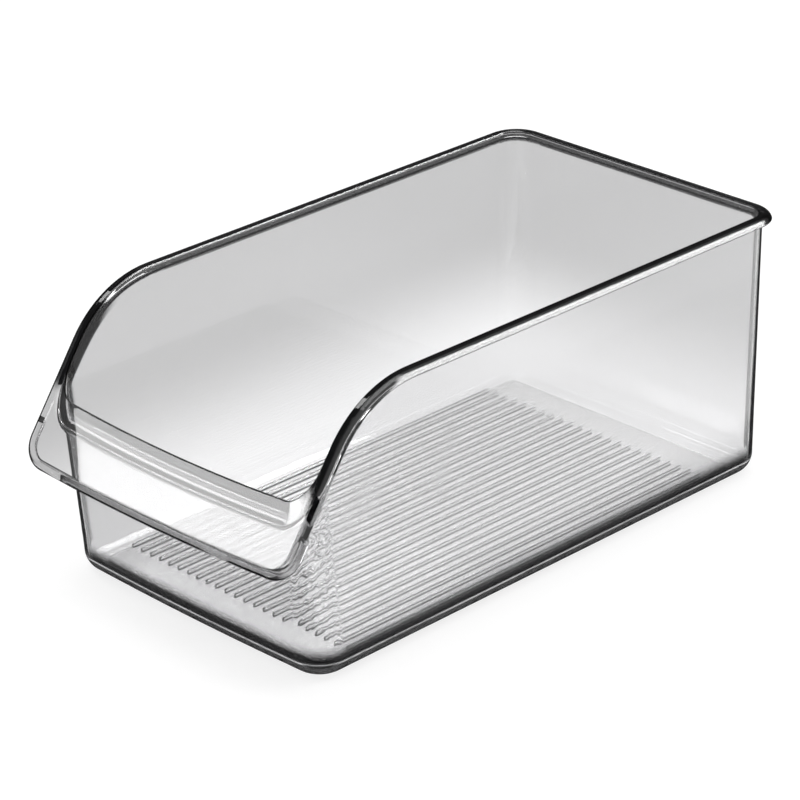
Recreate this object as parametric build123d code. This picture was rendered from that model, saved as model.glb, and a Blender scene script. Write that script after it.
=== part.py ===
from build123d import *
import math
import os

# A clear fridge storage drawer: a tub with a sloping front and a pull, and a ribbed floor tray that lifts out.
# Millimetres, +Z up, front towards -Y. The origin is on the underside of the base, in the middle of it.

# Tub
height = 130.0
base_length = 286.2
base_width = 161.6
side_draft = 0.6
back_draft = 0.9
front_lean = 8.6
front_bow = 1.75
base_corner_radius = 15.3
top_corner_radius = 12.3
base_edge_radius = 9.8
wall = 2.1
floor_thickness = 2.2

# Rim, which bends down the slope at the front
rim_overhang = 4.5
rim_thickness = 3.2
rim_crown_radius = 4.0
rim_lip_radius = 0.5
rim_root_radius = 2.5
mouth_edge_radius = 0.8
slope_setback = 26.2
slope_angle = 54.6
bend_radius = 54.0

# Pull, the end of the slope in front of the front wall
pull_drop = 71.8
pull_bow = 2.2
pull_corner_radius = 13.0
bead_width = 4.4
bead_depth = 5.2
bead_edge_radius = 0.9

# Floor tray
tray_plate = 1.5
tray_seat_clearance = 0.3
tray_side_clearance = 0.6
tray_lift_gap = 4.0
tray_edge_radius = 0.5
rib_height = 2.0
rib_width = 1.5
rib_count = 23
rib_edge_radius = 0.5
rib_side_margin = 1.8
rib_front_margin = 25.3
rib_back_margin = 33.4

# Values that follow from those above
half_length = base_length / 2
half_width = base_width / 2
inner_edge_radius = base_edge_radius - wall
rim_half_width = half_width + side_draft + rim_overhang
rim_back = half_length + back_draft + rim_overhang
slope = math.radians(slope_angle)
up_from_slope = (0, -math.sin(slope), math.cos(slope))
bend_corner = slope_setback - half_length
tray_inset = base_edge_radius + tray_side_clearance
rib_pitch = 2 * (half_width - tray_inset - rib_side_margin) / (rib_count - 1)
well_clear = 2 * base_length
smooth_joint = 15


def plan(z, inset, back_gap=0):
    """The tub's outline at height z, moved in by inset, with its front edge bowed outwards."""
    share = z / height
    x = half_width + side_draft * share - inset
    y_back = half_length + back_draft * share - inset - back_gap
    y_front = inset - half_length - front_lean * share
    corner = base_corner_radius + (top_corner_radius - base_corner_radius) * share
    with BuildSketch(Plane.XY.offset(z)) as outline:
        with BuildLine():
            ThreePointArc((-x, y_front), (0, y_front - front_bow), (x, y_front))
            Polyline((x, y_front), (x, y_back), (-x, y_back), (-x, y_front))
        make_face()
        fillet(outline.vertices(), corner - inset)
    return outline.sketch


def tapered_block(z_low, z_high, inset, edge_radius):
    """A drafted block between two heights, rounded round its lower edge."""
    block = loft([plan(z_low, inset), plan(z_high, inset)], ruled=True)
    return fillet(block.edges().group_by(Axis.Z)[0], edge_radius)


def side_line(depth, drop):
    """Points of the side view's top line, moved in by depth: back, bend corner and toe of the slope."""
    run = drop / math.sin(slope)
    toe_y = bend_corner - run * math.cos(slope) + depth * math.sin(slope)
    toe_z = height - drop - depth * math.cos(slope)
    corner = (bend_corner + depth * math.tan(slope / 2), height - depth)
    return (rim_back, height - depth), corner, (toe_y, toe_z)


def bent_sheet(depth):
    """A sheet that runs level, bends and then slopes, with the rim's outline and depth thick."""
    outer_back, outer_corner, outer_toe = side_line(0, pull_drop)
    inner_back, inner_corner, inner_toe = side_line(depth, pull_drop)
    with BuildSketch(Plane.YZ) as band:
        with BuildLine():
            FilletPolyline(outer_back, outer_corner, outer_toe, radius=bend_radius)
            Line(outer_toe, inner_toe)
            FilletPolyline(inner_toe, inner_corner, inner_back, radius=bend_radius - depth)
            Line(inner_back, outer_back)
        make_face()
    sheet = extrude(band.sketch, rim_half_width, both=True)
    upright = sheet.edges().filter_by(Axis.Z).group_by(Axis.Y)[-1]
    return fillet(upright, top_corner_radius + rim_overhang) & pull_prism(0)


def pull_prism(inset):
    """A prism square to the slope that gives the pull its bowed lower edge and round corners, moved in by inset."""
    toe = side_line(0, pull_drop)[2]
    across = Plane(origin=(0, toe[0], toe[1]), x_dir=(1, 0, 0), z_dir=up_from_slope)
    x = rim_half_width - inset
    with BuildSketch(across) as outline:
        with BuildLine():
            ThreePointArc((-x, pull_bow + inset), (0, inset), (x, pull_bow + inset))
            Polyline((x, pull_bow + inset), (x, well_clear), (-x, well_clear), (-x, pull_bow + inset))
        make_face()
        lower = outline.vertices().group_by(Axis.Z)[0]
        fillet(lower, pull_corner_radius - inset)
    return extrude(outline.sketch, well_clear, both=True)


def above_slope(depth):
    """Everything above the side view's top line moved in by depth."""
    back, corner, toe = side_line(depth, height)
    with BuildSketch(Plane.YZ) as region:
        with BuildLine():
            FilletPolyline(back, corner, toe, radius=bend_radius - depth)
            Polyline(toe, (-well_clear, toe[1]), (-well_clear, well_clear), (well_clear, well_clear), (well_clear, back[1]), back)
        make_face()
    return extrude(region.sketch, well_clear, both=True)


def sharp_edges(solid):
    """Edges where two faces meet at a corner instead of running smoothly into one another."""
    found = []
    for edge in solid.edges():
        normals = [face.normal_at(edge @ 0.5) for face in solid.faces() if edge in face.edges()]
        if len(normals) == 2 and normals[0].get_angle(normals[1]) > smooth_joint:
            found.append(edge)
    return found


def crowned_sheet(depth):
    """The bent sheet with its outer edge rounded over from the top by the crown radius."""
    blank = bent_sheet(2 * rim_crown_radius + rim_lip_radius)
    return fillet(sharp_edges(blank), rim_crown_radius) & bent_sheet(depth)


def pull_bead():
    """The thicker edge under the pull, from the front wall's corners down the sides and across."""
    front = half_length + front_lean
    before_wall = Box(well_clear, well_clear, well_clear, align=(Align.CENTER, Align.MAX, Align.CENTER))
    ring = crowned_sheet(bead_depth) - pull_prism(bead_width)
    ring = ring & Pos(0, -front, 0) * before_wall
    underside = ring.edges().group_by(Axis((0, 0, 0), up_from_slope))[0]
    ring = fillet(underside.filter_by(GeomType.CIRCLE), bead_edge_radius)
    return ring - above_slope(rim_thickness / 2)


def drawer_tub():
    """Floor, walls, rim and pull, one moulding."""
    block = tapered_block(0, height, 0, base_edge_radius) - above_slope(rim_thickness / 2)
    rim = crowned_sheet(rim_thickness)
    rim = fillet(sharp_edges(rim), rim_lip_radius)
    body = block + rim
    body = fillet(new_edges(block, rim, combined=body), rim_root_radius)
    body = body + pull_bead()
    cavity = tapered_block(floor_thickness, height + rim_thickness, wall, inner_edge_radius)
    tub = body - cavity
    return fillet(new_edges(body, cavity, combined=tub), mouth_edge_radius)


def tray_rib():
    """One rib of the floor tray, round at its ends and along its top, standing on z = 0."""
    length = base_length - rib_front_margin - rib_back_margin
    rib = extrude(SlotOverall(length, rib_width, rotation=90), rib_height)
    return fillet(rib.edges().group_by(Axis.Z)[-1], rib_edge_radius)


def floor_tray():
    """The ribbed plate that lies on the tub's floor and lifts out."""
    underside = floor_thickness + tray_seat_clearance
    plate = extrude(plan(underside, tray_inset, tray_lift_gap), tray_plate)
    plate = fillet(plate.edges().group_by(Axis.Z)[-1], tray_edge_radius)
    middle = (rib_front_margin - rib_back_margin) / 2
    rib = Pos(0, middle, underside + tray_plate) * tray_rib()
    ribs = [place * rib for place in GridLocations(rib_pitch, 1, rib_count, 1)]
    return plate + ribs


os.makedirs("parts", exist_ok=True)
export_step(drawer_tub(), "parts/drawer_tub.step")
export_step(floor_tray(), "parts/floor_tray.step")
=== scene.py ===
import bpy
import math
from mathutils import Matrix, Vector

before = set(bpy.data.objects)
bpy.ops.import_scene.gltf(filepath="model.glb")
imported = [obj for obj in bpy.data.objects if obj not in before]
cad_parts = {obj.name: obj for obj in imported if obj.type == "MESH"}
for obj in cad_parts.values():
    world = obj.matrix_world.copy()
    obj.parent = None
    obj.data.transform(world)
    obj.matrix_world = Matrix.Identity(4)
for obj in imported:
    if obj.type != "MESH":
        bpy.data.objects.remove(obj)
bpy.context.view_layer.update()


# The drawer.
# One clear injection moulding: floor, walls, the rolled rim and the pull that the rim runs down into.
# The plastic is faintly smoked, so the flat walls look pale grey. Its edges, which light runs along
# inside, are painted nearly black, as painted shade.

def math_node(tree, operation, *sources):
    """One sum or comparison of sockets and plain numbers."""
    node = tree.nodes.new("ShaderNodeMath")
    node.operation = operation
    for socket, source in zip(node.inputs, sources):
        if isinstance(source, (int, float)):
            socket.default_value = source
        else:
            tree.links.new(source, socket)
    return node.outputs[0]


def product(tree, *factors):
    """Sockets and plain numbers multiplied together."""
    result = factors[0]
    for factor in factors[1:]:
        result = math_node(tree, "MULTIPLY", result, factor)
    return result


def size_of(tree, source):
    """A socket's level without its sign."""
    return math_node(tree, "ABSOLUTE", source)


def ramp(tree, source, low, high, to_low=0.0, to_high=1.0):
    """A smooth rise or fall between two levels of a socket."""
    node = tree.nodes.new("ShaderNodeMapRange")
    node.interpolation_type = "SMOOTHSTEP"
    tree.links.new(source, node.inputs["Value"])
    for name, number in (("From Min", low), ("From Max", high), ("To Min", to_low), ("To Max", to_high)):
        node.inputs[name].default_value = number
    return node.outputs["Result"]


def stripe(tree, source, rise, fall):
    """One between two soft steps of a socket's level, nought outside them."""
    return product(tree, ramp(tree, source, *rise), ramp(tree, source, *fall, 1.0, 0.0))


def noise(tree, place, scale, detail):
    """Cloudy noise, as large as one over the scale in metres."""
    node = tree.nodes.new("ShaderNodeTexNoise")
    node.inputs["Scale"].default_value = scale
    node.inputs["Detail"].default_value = detail
    tree.links.new(place, node.inputs["Vector"])
    return node.outputs["Fac"]


def parts_of(tree, node_type, output):
    """The three parts of a position or direction."""
    split = tree.nodes.new("ShaderNodeSeparateXYZ")
    tree.links.new(tree.nodes.new(node_type).outputs[output], split.inputs[0])
    return split.outputs["X"], split.outputs["Y"], split.outputs["Z"]


def open_group(name, given, put_out):
    """A shader node group with the named number inputs and outputs, and the nodes that they end at."""
    group = bpy.data.node_groups.new(name, "ShaderNodeTree")
    for label, usual in given.items():
        socket = group.interface.new_socket(label, in_out="INPUT", socket_type="NodeSocketFloat")
        socket.default_value = usual
    for label in put_out:
        group.interface.new_socket(label, in_out="OUTPUT", socket_type="NodeSocketFloat")
    return group, group.nodes.new("NodeGroupInput").outputs, group.nodes.new("NodeGroupOutput").inputs


def use_group(tree, group, settings):
    """Places a node group in a material with these settings."""
    node = tree.nodes.new("ShaderNodeGroup")
    node.node_tree = group
    for label, level in settings.items():
        node.inputs[label].default_value = level
    return node.outputs


# Wear of plastic that is pulled out, filled and rinsed: hair scratches that lie in every direction but
# in patches, cloudy smudges of fingers, and the slight ripple that the mould leaves in a flat wall.
scratch_turns = ((0.4, 0.2, 0.9), (1.1, -0.5, 0.3), (-0.3, 1.2, 2.1))
scratch_stretch = (6.0, 900.0, 900.0)
scratch_levels = (0.70, 0.74)
patch_scale = 22.0
patch_levels = (0.42, 0.62)
smudge_scale = 34.0
smudge_levels = (0.48, 0.72)
ripple_scale = 18.0
worn_plastic, given, put_out = open_group(
    "worn plastic",
    {"Polish": 0.01, "Scratches": 0.10, "Smudges": 0.05, "Ripple": 1.0},
    ("Roughness", "Height"),
)
place = worn_plastic.nodes.new("ShaderNodeTexCoord").outputs["Object"]
scratches = 0.0
for turn in scratch_turns:
    laid = worn_plastic.nodes.new("ShaderNodeMapping")
    laid.inputs["Rotation"].default_value = turn
    laid.inputs["Scale"].default_value = scratch_stretch
    worn_plastic.links.new(place, laid.inputs["Vector"])
    streaks = noise(worn_plastic, laid.outputs["Vector"], 1.0, 1.0)
    scratches = math_node(worn_plastic, "MAXIMUM", scratches, ramp(worn_plastic, streaks, *scratch_levels))
patches = ramp(worn_plastic, noise(worn_plastic, place, patch_scale, 2.0), *patch_levels)
scratched = product(worn_plastic, scratches, patches, given["Scratches"])
smudges = ramp(worn_plastic, noise(worn_plastic, place, smudge_scale, 4.0), *smudge_levels)
smudged = product(worn_plastic, smudges, given["Smudges"])
rough = math_node(worn_plastic, "ADD", scratched, smudged)
rough = math_node(worn_plastic, "ADD", rough, given["Polish"])
worn_plastic.links.new(rough, put_out["Roughness"])
ripples = product(worn_plastic, noise(worn_plastic, place, ripple_scale, 1.0), given["Ripple"])
worn_plastic.links.new(ripples, put_out["Height"])

# Where a moulding is rounded: nought on its flat walls, its floor and its slope, one on its corners, its
# rim and its base edge. A flat face is square to an axis or lies in the slope.
slope_angle = math.radians(54.6)
square_levels = (0.997, 0.975)


def along_slope_normal(tree, front, upward):
    """The part of a surface's direction that is square to the slope."""
    forward = product(tree, front, math.sin(slope_angle))
    return math_node(tree, "SUBTRACT", forward, product(tree, upward, math.cos(slope_angle)))


rounded_edge, _, put_out = open_group("rounded edge", {}, ("Rounded",))
side, front, upward = parts_of(rounded_edge, "ShaderNodeNewGeometry", "Normal")
squareness = 0.0
for part in (side, front, upward, along_slope_normal(rounded_edge, front, upward)):
    squareness = math_node(rounded_edge, "MAXIMUM", squareness, size_of(rounded_edge, part))
rounded_edge.links.new(ramp(rounded_edge, squareness, *square_levels), put_out["Rounded"])

# The top of the drawer's walls, level round the back and down the slopes at the sides, and how far each
# point of the walls lies below it. The bend between level and slope is a smooth joint of the two. All
# lengths are in metres.
rim_height = 0.130
slope_foot = 0.088
slope_start = -0.1169
bend_spread = 0.036
lean_levels = (0.15, 0.45)
top_faces_up = 0.3
foot_levels = (slope_foot - 0.002, slope_foot + 0.004)
wall_top, _, put_out = open_group("wall top", {}, ("Top", "Depth"))
_, along, up = parts_of(wall_top, "ShaderNodeTexCoord", "Object")
side, front, upward = parts_of(wall_top, "ShaderNodeNewGeometry", "Normal")
leaning = math_node(wall_top, "MAXIMUM", size_of(wall_top, side), front)
top = product(
    wall_top,
    ramp(wall_top, leaning, *lean_levels, 1.0, 0.0),
    math_node(wall_top, "GREATER_THAN", upward, top_faces_up),
    ramp(wall_top, up, *foot_levels),
)
wall_top.links.new(top, put_out["Top"])
above_rim = math_node(wall_top, "SUBTRACT", up, rim_height)
before_start = math_node(wall_top, "SUBTRACT", slope_start, along)
above_slope = product(wall_top, before_start, math.sin(slope_angle))
above_slope = math_node(wall_top, "MULTIPLY_ADD", above_rim, math.cos(slope_angle), above_slope)
above_top = math_node(wall_top, "SMOOTH_MAX", above_rim, above_slope, bend_spread)
wall_top.links.new(product(wall_top, above_top, -1.0), put_out["Depth"])

smoke_colour = (0.50, 0.495, 0.50)


def clear_plastic(name, tint, smoke_density, haze, wear):
    """Clear moulded plastic, with a finish for its surface and the smoke inside it."""
    material = bpy.data.materials.new(name)
    material.use_nodes = True
    tree = material.node_tree
    shader = tree.nodes["Principled BSDF"]
    shader.inputs["Base Color"].default_value = (*tint, 1.0)
    shader.inputs["Transmission Weight"].default_value = 1.0 - haze
    shader.inputs["IOR"].default_value = 1.55
    worn = use_group(tree, worn_plastic, wear)
    tree.links.new(worn["Roughness"], shader.inputs["Roughness"])
    bump = tree.nodes.new("ShaderNodeBump")
    bump.inputs["Strength"].default_value = 0.25
    bump.inputs["Distance"].default_value = 0.0004
    tree.links.new(worn["Height"], bump.inputs["Height"])
    tree.links.new(bump.outputs["Normal"], shader.inputs["Normal"])
    smoke = tree.nodes.new("ShaderNodeVolumeAbsorption")
    smoke.inputs["Color"].default_value = (*smoke_colour, 1.0)
    smoke.inputs["Density"].default_value = smoke_density
    tree.links.new(smoke.outputs["Volume"], tree.nodes["Material Output"].inputs["Volume"])
    return material, tree, shader


def mix_colour(tree, share, first, second):
    """A colour part of the way from one to another. The first is a socket or a colour."""
    first_socket, second_socket, colour_output = 6, 7, 2
    node = tree.nodes.new("ShaderNodeMix")
    node.data_type = "RGBA"
    tree.links.new(share, node.inputs["Factor"])
    if isinstance(first, tuple):
        node.inputs[first_socket].default_value = (*first, 1.0)
    else:
        tree.links.new(first, node.inputs[first_socket])
    node.inputs[second_socket].default_value = (*second, 1.0)
    return node.outputs[colour_output]


def edge_on(tree, first, full):
    """How nearly a surface is seen edge-on, from nought to one."""
    seen = tree.nodes.new("ShaderNodeLayerWeight")
    seen.inputs["Blend"].default_value = 0.5
    return ramp(tree, seen.outputs["Facing"], first, full)


def dress(node, material):
    """Puts a finish on a CAD node in place of the one that it came with."""
    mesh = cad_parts[node].data
    for index in range(len(mesh.materials)):
        mesh.materials[index] = material


# The top of the walls and the edges are painted nearly black, as painted shade.
drawer_tint = (0.86, 0.86, 0.865)
painted_wall_top_shade = (0.04, 0.04, 0.042)
painted_edge_shade = (0.0003, 0.0003, 0.0004)
drawer_smoke = 100.0
haze = 0.06
drawer_wear = {"Polish": 0.01, "Scratches": 0.08, "Smudges": 0.04, "Ripple": 0.4}
drawer_plastic, tree, shader = clear_plastic(
    "clear drawer plastic", drawer_tint, drawer_smoke, haze, drawer_wear
)

# Painted shade: the top of a wall is painted nearly black, for the light that goes down into it and is
# lost there.
tops = use_group(tree, wall_top, {})
colour = mix_colour(tree, tops["Top"], drawer_tint, painted_wall_top_shade)

# Painted shade: inside the mouth the wall is painted dark where the edge of the flange shows through it,
# all over at the slopes and as a dark line at the rim. A wall faces inwards where its place and its
# direction have opposite signs.
side_wall_inward = -0.02
end_wall_inward = -0.1
slope_begins = (-0.108, -0.122)
slope_band_ends = (0.0052, 0.0062)
rim_line_rise = (0.0026, 0.0029)
rim_line_fall = (0.0036, 0.0041)
across, along, up = parts_of(tree, "ShaderNodeTexCoord", "Object")
side, front, upward = parts_of(tree, "ShaderNodeNewGeometry", "Normal")
sides_inward = math_node(tree, "LESS_THAN", product(tree, across, side), side_wall_inward)
ends_inward = math_node(tree, "LESS_THAN", product(tree, along, front), end_wall_inward)
inward = math_node(tree, "MAXIMUM", sides_inward, ends_inward)
on_slope = ramp(tree, along, *slope_begins)
slope_band = product(tree, ramp(tree, tops["Depth"], *slope_band_ends, 1.0, 0.0), on_slope)
rim_line = stripe(tree, tops["Depth"], rim_line_rise, rim_line_fall)
above_foot = math_node(tree, "GREATER_THAN", up, slope_foot)
painted_mouth_shade = product(tree, math_node(tree, "MAXIMUM", slope_band, rim_line), inward, above_foot)
colour = mix_colour(tree, painted_mouth_shade, colour, painted_edge_shade)

# Painted shade: the ridge between the pull and the mouth is painted as a thin dark line too.
ridge_front = -0.1502
ridge_back = -0.1440
ridge_depth = (0.0012, 0.0018)
flat_slope = 0.97
slope_facing = size_of(tree, along_slope_normal(tree, front, upward))
ridge = product(
    tree,
    math_node(tree, "LESS_THAN", slope_facing, flat_slope),
    ramp(tree, tops["Depth"], *ridge_depth, 1.0, 0.0),
    math_node(tree, "LESS_THAN", along, ridge_back),
    math_node(tree, "GREATER_THAN", along, ridge_front),
)
colour = mix_colour(tree, ridge, colour, painted_edge_shade)

# Painted shade: rounded edges are painted darker where they are seen edge-on, all but the base edge.
edge_on_levels = (0.36, 0.54)
above_base_edge = (0.009, 0.011)
rounded = use_group(tree, rounded_edge, {})["Rounded"]
dark = product(tree, rounded, edge_on(tree, *edge_on_levels), ramp(tree, up, *above_base_edge))
colour = mix_colour(tree, dark, colour, painted_edge_shade)

# Painted shade: the foot of the walls is painted dark from outside, where the floor joins them, but for a
# thin light line round the base edge where that painted shade is mostly left off. The flat underside stays
# as clear as the walls.
foot_fades = (0.0180, 0.0095)
foot_share = 0.99
underside_levels = (0.90, 0.97)
light_line_rise = (0.0074, 0.0077)
light_line_fall = (0.0082, 0.0085)
light_line_share = 0.7
outward = product(tree, across, side)
outward = math_node(tree, "MULTIPLY_ADD", along, front, outward)
light_line = stripe(tree, up, light_line_rise, light_line_fall)
foot = product(
    tree,
    ramp(tree, up, *foot_fades),
    math_node(tree, "GREATER_THAN", outward, 0.0),
    ramp(tree, size_of(tree, upward), *underside_levels, foot_share, 0.0),
    math_node(tree, "SUBTRACT", 1.0, product(tree, light_line, light_line_share)),
)
colour = mix_colour(tree, foot, colour, painted_edge_shade)

# Painted shade: seen from inside the plastic, the small roundings under the rim and the pull are painted
# dark too, where they hold the light back, but not those of the ridge.
above_walls_foot = 0.04
underneath_levels = (0.1, 0.3)
behind_ridge = (-0.135, -0.125)
before_ridge = (-0.154, -0.158)
under_rim_shade_share = 0.985
inside = tree.nodes.new("ShaderNodeNewGeometry").outputs["Backfacing"]
off_ridge = math_node(tree, "MAXIMUM", ramp(tree, along, *behind_ridge), ramp(tree, along, *before_ridge))
painted_under_rim_shade = product(
    tree,
    math_node(tree, "GREATER_THAN", up, above_walls_foot),
    ramp(tree, upward, *underneath_levels),
    off_ridge,
    inside,
    rounded,
    under_rim_shade_share,
)
colour = mix_colour(tree, painted_under_rim_shade, colour, painted_edge_shade)
tree.links.new(colour, shader.inputs["Base Color"])
dress("drawer_tub", drawer_plastic)


# The floor tray.
# A loose clear plate with round-ended ribs along it, which hold what is stored clear of drips. It is
# moulded from the same plastic with less smoke, and lifting it out and rinsing it has scratched it
# more. The feet of its ribs and the edge of its plate are painted darker than its flat faces, as painted
# shade.
tray_tint = (0.97, 0.97, 0.97)
rib_foot_painted_shade = (0.20, 0.20, 0.20)
plate_edge_painted_shade = (0.01, 0.01, 0.01)
tray_smoke = 20.0
tray_wear = {"Polish": 0.02, "Scratches": 0.14, "Smudges": 0.06, "Ripple": 0.2}
upright_levels = (0.2, 0.6)
rib_foot_fades = (0.0047, 0.0043)
plate_top = 0.0041
tray_plastic, tree, shader = clear_plastic("clear tray plastic", tray_tint, tray_smoke, haze, tray_wear)
_, _, upward = parts_of(tree, "ShaderNodeNewGeometry", "Normal")
_, _, up = parts_of(tree, "ShaderNodeTexCoord", "Object")
# Painted shade: darker at the feet of the ribs and nearly black at the edge of the plate.
upright = ramp(tree, size_of(tree, upward), *upright_levels, 1.0, 0.0)
painted_rib_foot_shade = product(tree, upright, ramp(tree, up, *rib_foot_fades))
painted_plate_edge_shade = product(tree, upright, math_node(tree, "LESS_THAN", up, plate_top))
colour = mix_colour(tree, painted_rib_foot_shade, tray_tint, rib_foot_painted_shade)
colour = mix_colour(tree, painted_plate_edge_shade, colour, plate_edge_painted_shade)
tree.links.new(colour, shader.inputs["Base Color"])
dress("floor_tray", tray_plastic)


# The studio.
# A plain pale floor that looks white to the camera and through the plastic but still takes the shadow,
# dark studio walls that the plastic mirrors, an even soft light, and soft boxes that draw the white
# lines along its edges.
half_floor = 4.0
floor_drop = 0.0003
floor_mesh = bpy.data.meshes.new("studio floor")
corners = [(x * half_floor, y * half_floor, 0.0) for x, y in ((-1, -1), (1, -1), (1, 1), (-1, 1))]
floor_mesh.from_pydata(corners, [], [(0, 1, 2, 3)])
studio_floor = bpy.data.objects.new("studio_floor", floor_mesh)
studio_floor.location.z = -floor_drop
bpy.context.scene.collection.objects.link(studio_floor)


def ways_of_seeing(tree):
    """Camera, mirrored and see-through rays, each as one or nought, and nought once light is scattered."""
    light = tree.nodes.new("ShaderNodeLightPath").outputs
    unscattered = math_node(tree, "LESS_THAN", light["Diffuse Depth"], 0.5)
    through = product(tree, light["Is Transmission Ray"], unscattered)
    not_through = math_node(tree, "SUBTRACT", 1.0, light["Is Transmission Ray"])
    mirrored = product(tree, light["Is Glossy Ray"], unscattered, not_through)
    return light["Is Camera Ray"], mirrored, through


# The floor glows white to the camera. Mirrored in the plastic it is nearly black but for a white card
# that lies to the right of the drawer. Seen through the plastic it is brightest right under the drawer,
# less so round it, and darker further off.
floor_grey = 0.30
mirrored_floor_grey = 0.04
camera_glow = 0.80
card_begins = (0.09, 0.13)
card_glow = (0.03, 2.8)
half_width, half_length = 0.081, 0.143
near_reach = (0.0, 0.14)
near_glow = (1.25, 0.52)
under_reach = (-0.02, 0.0)
under_glow = 0.75
pale = bpy.data.materials.new("pale floor")
pale.use_nodes = True
paint = pale.node_tree
paper = paint.nodes["Principled BSDF"]
paper.inputs["Roughness"].default_value = 0.9
paper.inputs["Specular IOR Level"].default_value = 0.0
paper.inputs["Emission Color"].default_value = (1.0, 1.0, 1.0, 1.0)
across, along, _ = parts_of(paint, "ShaderNodeNewGeometry", "Position")
beside = math_node(paint, "SUBTRACT", size_of(paint, across), half_width)
beyond = math_node(paint, "SUBTRACT", size_of(paint, along), half_length)
off_drawer = math_node(paint, "MAXIMUM", beside, beyond)
direct, mirrored, through = ways_of_seeing(paint)
shade = math_node(paint, "MULTIPLY_ADD", mirrored, mirrored_floor_grey - floor_grey, floor_grey)
paint.links.new(shade, paper.inputs["Base Color"])
near = ramp(paint, off_drawer, *near_reach, *near_glow)
under = ramp(paint, off_drawer, *under_reach, under_glow, 0.0)
direct = product(paint, direct, camera_glow)
mirrored = product(paint, mirrored, ramp(paint, across, *card_begins, *card_glow))
through = product(paint, through, math_node(paint, "ADD", near, under))
shown = math_node(paint, "ADD", math_node(paint, "ADD", direct, mirrored), through)
paint.links.new(shown, paper.inputs["Emission Strength"])
floor_mesh.materials.append(pale)

# The surround is white to the camera. Mirrored in the plastic it is nearly black but for a bright
# panel behind the drawer to its right. Seen through the plastic it darkens upwards. For everything
# else it is an even soft light.
soft_light = 0.55
dark_wall = 0.05
panel_glow = 12.0
panel_east = (0.05, 0.25)
panel_bottom = (0.0, 0.10)
panel_north_rise = (0.35, 0.50)
panel_north_fall = (0.75, 0.85)
darkens_upwards = (0.10, 0.40)
dark_above = 0.08
surround = bpy.data.worlds.new("studio surround")
bpy.context.scene.world = surround
surround.use_nodes = True
sky = surround.node_tree
sky.nodes.clear()
east, north, up = parts_of(sky, "ShaderNodeTexCoord", "Generated")
direct, mirrored, through = ways_of_seeing(sky)
seen = math_node(sky, "ADD", math_node(sky, "ADD", direct, mirrored), through)
lighting = product(sky, math_node(sky, "SUBTRACT", 1.0, seen), soft_light)
panel = product(
    sky,
    ramp(sky, east, *panel_east),
    ramp(sky, up, *panel_bottom),
    stripe(sky, north, panel_north_rise, panel_north_fall),
)
mirrored = product(sky, mirrored, math_node(sky, "MULTIPLY_ADD", panel, panel_glow, dark_wall))
through = product(sky, through, ramp(sky, up, *darkens_upwards, 1.0, dark_above))
shown = math_node(sky, "ADD", math_node(sky, "ADD", direct, mirrored), through)
glow = sky.nodes.new("ShaderNodeBackground")
glow.inputs["Color"].default_value = (1.0, 1.0, 1.0, 1.0)
sky.links.new(math_node(sky, "ADD", shown, lighting), glow.inputs["Strength"])
world_end = sky.nodes.new("ShaderNodeOutputWorld")
sky.links.new(glow.outputs["Background"], world_end.inputs["Surface"])


def stand(place, back, upright, roll=0.0, shift=(0.0, 0.0)):
    """Place and turn of a lamp or camera that faces away from back, rolled and shifted in its plane."""
    level_right = Vector(upright).cross(back).normalized()
    level_up = back.cross(level_right)
    right = level_right * math.cos(roll) + level_up * math.sin(roll)
    up = level_up * math.cos(roll) - level_right * math.sin(roll)
    turned = Matrix((right, up, back)).transposed().to_4x4()
    return Matrix.Translation(Vector(place) + right * shift[0] + up * shift[1]) @ turned


def soft_box(name, place, aim, size, brightness, upright=(0, 1, 0), roll=0.0, shift=(0.0, 0.0)):
    """A rectangular lamp of a given size in metres, as bright as that many times white."""
    lamp = bpy.data.lights.new(name, "AREA")
    lamp.shape = "RECTANGLE"
    lamp.size, lamp.size_y = size
    lamp.energy = brightness * math.pi * size[0] * size[1]
    box = bpy.data.objects.new(name, lamp)
    back = (Vector(place) - Vector(aim)).normalized()
    box.matrix_world = stand(place, back, upright, roll, shift)
    box.visible_camera = False
    bpy.context.scene.collection.objects.link(box)


soft_box("overhead box", (0.0, 0.1, 1.5), (0.0, 0.0, 0.0), (1.2, 1.2), 2.0)
soft_box("ridge strip", (-0.98, -0.20, 1.20), (0.0, -0.13, 0.08), (0.7, 0.25), 5.0)
soft_box("rim strip", (0.72, 0.94, 1.06), (0.08, 0.0, 0.13), (0.25, 1.0), 5.0)

# The pull mirrors a box at the left, which is turned and shifted to lie square in it.
pull_light = (-0.83, -0.90, 0.60)
pull_middle = (0.0, -0.157, 0.073)
pull_pane = (0.165, 0.179)
pull_roll = math.radians(-36.87)
pull_shift = (0.0375, -0.0195)
soft_box("pull box", pull_light, pull_middle, pull_pane, 7.5, (0, 0, 1), pull_roll, pull_shift)


# The camera.
# It stands where the straight edges of the drawer in the photograph put it: to the right of the front,
# above it, with a long lens and a slight tilt.
camera_place = (1.005215, -0.983268, 0.716626)
azimuth = math.radians(46.099)
elevation = math.radians(25.069)
tilt = math.radians(-1.301)
camera_data = bpy.data.cameras.new("camera")
camera_data.sensor_width = 36.0
camera_data.lens = 154.62
camera_data.clip_start = 0.05
camera_data.clip_end = 50.0
camera = bpy.data.objects.new("camera", camera_data)
bpy.context.scene.collection.objects.link(camera)
level_part = math.cos(elevation)
back = Vector((math.sin(azimuth) * level_part, -math.cos(azimuth) * level_part, math.sin(elevation)))
camera.matrix_world = stand(camera_place, back, (0, 0, 1), tilt)
bpy.context.scene.camera = camera

bpy.context.scene.view_settings.view_transform = "Standard"
